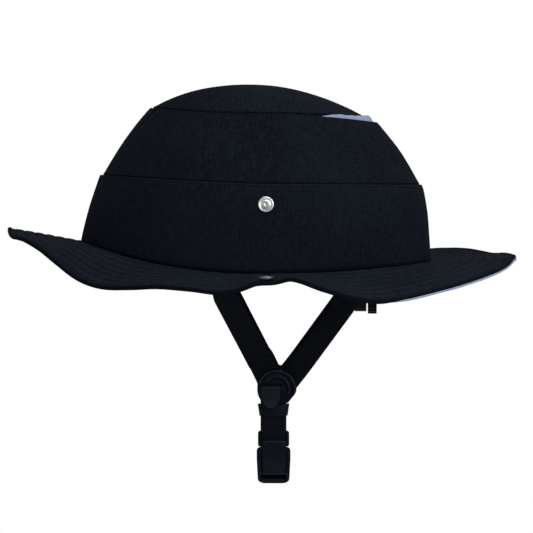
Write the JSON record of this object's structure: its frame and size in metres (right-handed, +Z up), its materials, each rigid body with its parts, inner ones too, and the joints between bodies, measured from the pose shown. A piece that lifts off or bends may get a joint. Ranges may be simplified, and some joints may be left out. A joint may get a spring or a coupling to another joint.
{
  "type": "bicycle helmet with bucket hat cover",
  "caption": "Hard city bicycle helmet under a removable tiered bucket hat cover with a wide wavy brim, rear fit dial, chin straps and side release buckle.",
  "frame": {"origin": "middle of the head opening, level with the cover's hem at the ears", "axes": "-X toward the forehead, +X toward the nape, -Y toward the wearer's left, +Z up through the crown"},
  "size_m": [0.4065, 0.352, 0.3182],
  "materials": {
    "shell_plastic": "satin moulded shell",
    "liner_foam": "black bead foam",
    "trim_rubber": "matt",
    "pad_fabric": "brushed knit",
    "fit_plastic": "fine grain",
    "buckle_plastic": "satin moulded",
    "webbing": "flat woven",
    "cover_cloth": "fine plain weave",
    "brim_cloth": "fine plain weave with rows of stitching",
    "lining_cloth": "smooth grey blue lining",
    "steel": "bright nickel"
  },
  "bodies": {
    "helmet": {"outer_shell": "shell_plastic", "foam_liner": "liner_foam", "rim_trim": "trim_rubber", "front_pad": "pad_fabric", "side_pad_left": "pad_fabric", "side_pad_right": "pad_fabric", "crown_pad": "pad_fabric", "pad_dots": "pad_fabric", "strap_anchors": "fit_plastic", "band_rivets": "fit_plastic", "fit_band_left": "fit_plastic", "fit_band_right": "fit_plastic", "cradle_hangers": "fit_plastic", "cradle_housing": "fit_plastic", "cradle_cover": "fit_plastic", "cradle_screws": "steel", "nape_pad": "pad_fabric", "front_strap_left": "webbing", "front_strap_right": "webbing", "rear_strap_left": "webbing", "rear_strap_right": "webbing", "divider_left": "buckle_plastic", "divider_right": "buckle_plastic", "lever_pin_left": "steel", "lever_pin_right": "steel", "strap_keeper": "buckle_plastic", "buckle_plug": "buckle_plastic", "chin_strap": "webbing"},
    "dial": {"dial_knob": "fit_plastic", "dial_pinion": "fit_plastic", "dial_screw": "steel"},
    "rack_l": {"rack_left": "fit_plastic"},
    "rack_r": {"rack_right": "fit_plastic"},
    "lever_l": {"divider_lever_left": "buckle_plastic"},
    "lever_r": {"divider_lever_right": "buckle_plastic"},
    "prong_f": {"prong_front": "buckle_plastic"},
    "prong_b": {"prong_rear": "buckle_plastic"},
    "socket": {"buckle_socket": "buckle_plastic"},
    "cover": {"crown_dome": "cover_cloth", "middle_band": "cover_cloth", "side_band": "cover_cloth", "vent_lining": "lining_cloth", "brim": "brim_cloth", "brim_lining": "lining_cloth", "side_snap_left": "steel", "side_snap_right": "steel"},
    "flap_l": {"brim_flap_left": "brim_cloth", "flap_lining_left": "lining_cloth", "brim_snap_left": "steel"},
    "flap_r": {"brim_flap_right": "brim_cloth", "flap_lining_right": "lining_cloth", "brim_snap_right": "steel"}
  },
  "joints": [
    {"name": "dial_turn", "type": "hinge", "parent": "helmet", "child": "dial", "pos_m": [0.09, 0, -0.018], "axis": [-1, 0, 0], "range_deg": [0, 170]},
    {"name": "rack_left_slide", "type": "slide", "parent": "helmet", "child": "rack_l", "axis": [0, 1, 0], "range_m": [0, 0.015], "deforming": ["fit_band_left"]},
    {"name": "rack_right_slide", "type": "slide", "parent": "helmet", "child": "rack_r", "axis": [0, -1, 0], "range_m": [0, 0.015], "deforming": ["fit_band_right"]},
    {"name": "lever_left_open", "type": "hinge", "parent": "helmet", "child": "lever_l", "pos_m": [0.0116, -0.072, -0.0918], "axis": [-1, 0, 0], "range_deg": [0, 75]},
    {"name": "lever_right_open", "type": "hinge", "parent": "helmet", "child": "lever_r", "pos_m": [0.0116, 0.072, -0.0918], "axis": [1, 0, 0], "range_deg": [0, 75]},
    {"name": "prong_front_squeeze", "type": "hinge", "parent": "helmet", "child": "prong_f", "pos_m": [0.0054, -0.066, -0.1369], "axis": [0, -1, 0], "range_deg": [0, 7], "stiffness_Nm_per_rad": 0.05},
    {"name": "prong_rear_squeeze", "type": "hinge", "parent": "helmet", "child": "prong_b", "pos_m": [0.0226, -0.066, -0.1369], "axis": [0, 1, 0], "range_deg": [0, 7], "stiffness_Nm_per_rad": 0.05},
    {"name": "buckle_release", "type": "slide", "parent": "helmet", "child": "socket", "axis": [0, 0, -1], "range_m": [0, 0.028], "deforming": ["chin_strap", "prong_front", "prong_rear"]},
    {"name": "cover_lift", "type": "slide", "parent": "helmet", "child": "cover", "axis": [0, 0, 1], "range_m": [0, 0.16]},
    {"name": "brim_left_fold", "type": "hinge", "parent": "cover", "child": "flap_l", "pos_m": [0, -0.113, -0.001], "axis": [-1, 0, 0], "range_deg": [0, 98], "deforming": ["brim_flap_left", "flap_lining_left"]},
    {"name": "brim_right_fold", "type": "hinge", "parent": "cover", "child": "flap_r", "pos_m": [0, 0.113, -0.001], "axis": [1, 0, 0], "range_deg": [0, 98], "deforming": ["brim_flap_right", "flap_lining_right"]}
  ],
  "couplings": [
    {"joint": "rack_left_slide", "follows": "dial_turn", "m_per_rad": 0.005},
    {"joint": "rack_right_slide", "follows": "dial_turn", "m_per_rad": 0.005},
    {"joint": "prong_rear_squeeze", "follows": "prong_front_squeeze", "ratio": 1}
  ]
}
